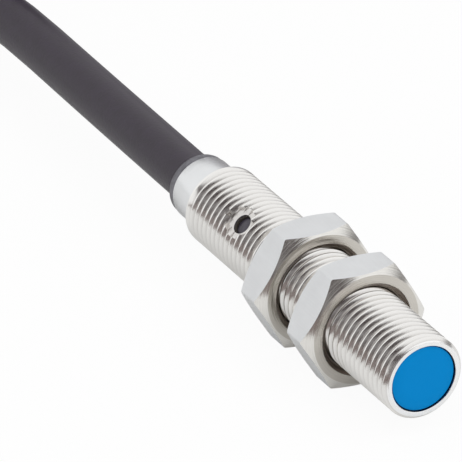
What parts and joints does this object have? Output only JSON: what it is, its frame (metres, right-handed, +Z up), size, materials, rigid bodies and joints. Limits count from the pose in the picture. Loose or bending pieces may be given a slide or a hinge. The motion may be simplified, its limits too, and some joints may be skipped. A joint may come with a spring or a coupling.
{
  "type": "inductive proximity sensor",
  "caption": "Miniature threaded-barrel inductive proximity sensor with a flush blue sensing face, hexagon mounting nuts, an indicator port and a coiled lead with bare ends.",
  "frame": {"origin": "centre of the sensing face's rim, on the barrel's axis", "axes": "+X along the barrel, out of the sensing face; +Z up, with the lower flats of both nuts on the surface 3.5 mm below the axis"},
  "size_m": [0.126, 0.0335, 0.0193],
  "materials": {
    "barrel_metal": "turned stainless steel, bright",
    "nut_metal": "turned stainless steel, fine marks",
    "face_blue": "plain moulded plastic",
    "ferrite": "sintered ferrite",
    "bobbin_plastic": "thin moulded plastic",
    "copper_wire": "enamelled copper",
    "board_green": "glass-epoxy laminate",
    "chip_black": "moulded epoxy",
    "ceramic_tan": "ceramic",
    "ceramic_dark": "glazed ceramic",
    "led_body": "clear-topped LED",
    "light_guide": "smoky clear resin",
    "solder": "tin solder",
    "brown_insulation": "PVC",
    "blue_insulation": "PVC",
    "black_insulation": "PVC",
    "potting_resin": "cast resin",
    "seal_rubber": "soft, slightly translucent",
    "sheath": "satin PVC",
    "tie_plastic": "ribbon over a wire"
  },
  "bodies": {
    "root": {"barrel": "barrel_metal", "sensing_cap": "face_blue", "ferrite_core": "ferrite", "coil_bobbin": "bobbin_plastic", "sensing_coil": "copper_wire", "coil_leads": "copper_wire", "circuit_board": "board_green", "oscillator_chip": "chip_black", "output_transistor": "chip_black", "protection_diode": "chip_black", "capacitors": "ceramic_tan", "resistors": "ceramic_dark", "led": "led_body", "led_window": "light_guide", "solder_joints": "solder", "brown_core": "brown_insulation", "blue_core": "blue_insulation", "black_core": "black_insulation", "potting": "potting_resin", "rear_seal": "seal_rubber", "cable": "sheath", "cable_hank": "sheath", "cable_end": "sheath", "hank_tie": "tie_plastic", "brown_lead": "brown_insulation", "blue_lead": "blue_insulation", "black_lead": "black_insulation", "tinned_tips": "solder"},
    "front_nut_carrier": {"front_nut_thread": "nut_metal"},
    "front_nut": {"front_nut": "nut_metal"},
    "rear_nut_carrier": {"rear_nut_thread": "nut_metal"},
    "rear_nut": {"rear_nut": "nut_metal"}
  },
  "joints": [
    {"name": "front_nut_turn", "type": "hinge", "parent": "front_nut_carrier", "child": "front_nut", "pos_m": [-0.0075, 0, 0], "axis": [1, 0, 0], "range_deg": [-901, 3961]},
    {"name": "front_nut_travel", "type": "slide", "parent": "root", "child": "front_nut_carrier", "axis": [1, 0, 0], "range_m": [-0.00125, 0.0055]},
    {"name": "rear_nut_turn", "type": "hinge", "parent": "rear_nut_carrier", "child": "rear_nut", "pos_m": [-0.01275, 0, 0], "axis": [1, 0, 0], "range_deg": [-6121, 901]},
    {"name": "rear_nut_travel", "type": "slide", "parent": "root", "child": "rear_nut_carrier", "axis": [1, 0, 0], "range_m": [-0.0085, 0.00125]}
  ],
  "couplings": [
    {"joint": "front_nut_turn", "follows": "front_nut_travel", "rad_per_m": 12566},
    {"joint": "rear_nut_turn", "follows": "rear_nut_travel", "rad_per_m": 12566}
  ]
}
